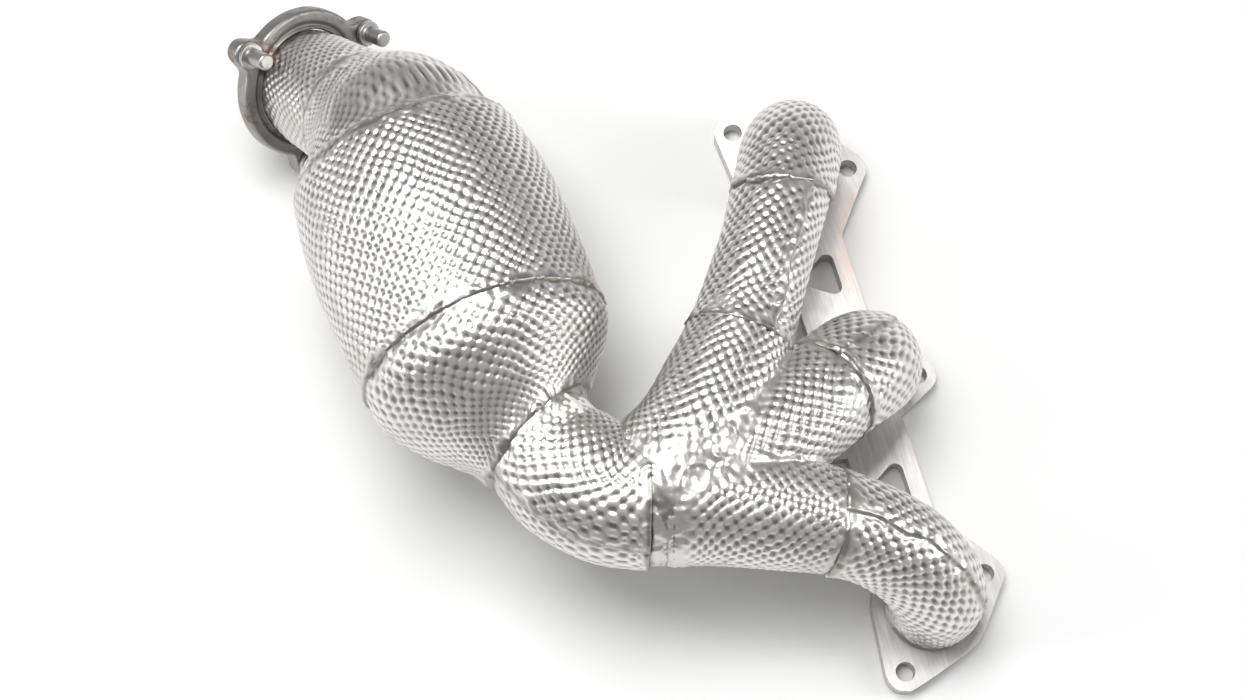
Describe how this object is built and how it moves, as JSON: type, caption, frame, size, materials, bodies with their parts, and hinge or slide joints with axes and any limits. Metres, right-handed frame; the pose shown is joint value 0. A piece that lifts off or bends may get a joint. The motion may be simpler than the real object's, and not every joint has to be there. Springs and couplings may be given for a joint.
{
  "type": "exhaust manifold with close-coupled catalytic converter",
  "caption": "Foil-wrapped exhaust manifold: a flat head flange, runners merging into a collector, a bend, a catalytic converter and a lobed outlet flange.",
  "frame": {"origin": "centre of port 2 on the mating face of the head flange", "axes": "+Z away from the cylinder head, towards the pipes; +Y along the flange, towards port 1; -X towards the converter"},
  "size_m": [0.3017, 0.4027, 0.1462],
  "materials": {
    "flange_steel": "machined, slightly heat tinted",
    "pipe_steel": "drawn tube, heat darkened",
    "weld_steel": "as welded",
    "foil_steel": "embossed bright foil",
    "rusty_steel": "pressed, light rust",
    "bolt_steel": "plain",
    "fibre": "mineral fibre mat",
    "ceramic": "unglazed, coated"
  },
  "bodies": {
    "root": {"catalyst_monolith": "ceramic", "collector": "pipe_steel", "connecting_bend": "pipe_steel", "converter_can": "pipe_steel", "fibre_bend": "fibre", "fibre_body": "fibre", "fibre_collector": "fibre", "fibre_inlet_cone": "fibre", "fibre_neck": "fibre", "fibre_runner_1": "fibre", "fibre_runner_2": "fibre", "fibre_runner_3": "fibre", "foil_bend": "foil_steel", "foil_body": "foil_steel", "foil_collector": "foil_steel", "foil_inlet_cone": "foil_steel", "foil_neck": "foil_steel", "foil_outlet_cone": "foil_steel", "foil_runner_1": "foil_steel", "foil_runner_1_elbow": "foil_steel", "foil_runner_2": "foil_steel", "foil_runner_3": "foil_steel", "head_flange": "flange_steel", "inlet_cone": "pipe_steel", "outlet_bolt_1": "bolt_steel", "outlet_bolt_2": "bolt_steel", "outlet_bolt_3": "bolt_steel", "outlet_cone": "pipe_steel", "outlet_flange": "rusty_steel", "outlet_lip": "weld_steel", "outlet_pipe": "pipe_steel", "runner_pipe_1": "pipe_steel", "runner_pipe_2": "pipe_steel", "runner_pipe_3": "pipe_steel", "support_mat": "fibre", "weld_bead_1": "weld_steel", "weld_bead_2": "weld_steel", "weld_bead_3": "weld_steel"}
  },
  "joints": []
}
